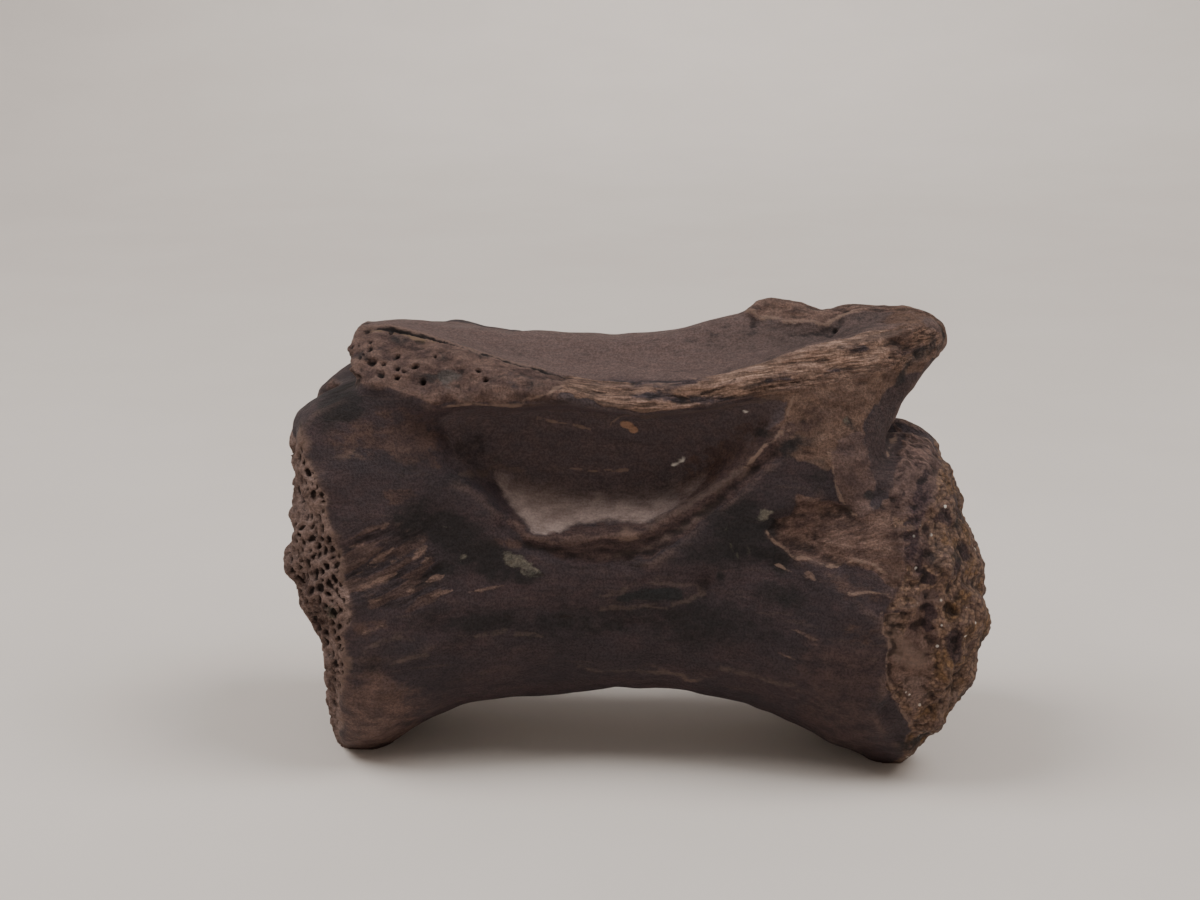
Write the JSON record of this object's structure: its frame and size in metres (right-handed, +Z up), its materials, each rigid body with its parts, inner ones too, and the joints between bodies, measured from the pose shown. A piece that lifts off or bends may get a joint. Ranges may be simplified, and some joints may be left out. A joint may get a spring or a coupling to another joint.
{
  "type": "fossil dinosaur vertebra",
  "caption": "Fossil dinosaur tail vertebra: a long waisted spool of bone under a low neural arch, its ends worn to spongy bone, resting on its lower rims.",
  "frame": {"origin": "on the ground, under the middle of the bone's bounding box", "axes": "X runs along the backbone, with the front end at -X and the overhanging rear process at +X; Y is across the bone, with the fully worn and flaked side at -Y; +Z is up, from the rims it rests on towards the roof of the neural arch"},
  "size_m": [0.0984, 0.043, 0.065],
  "materials": {
    "bone": "mineralised fossil bone, dark brown with rough spongy ends and smoother, slightly polished sides"
  },
  "bodies": {
    "root": {"vertebra": "bone"}
  },
  "joints": []
}
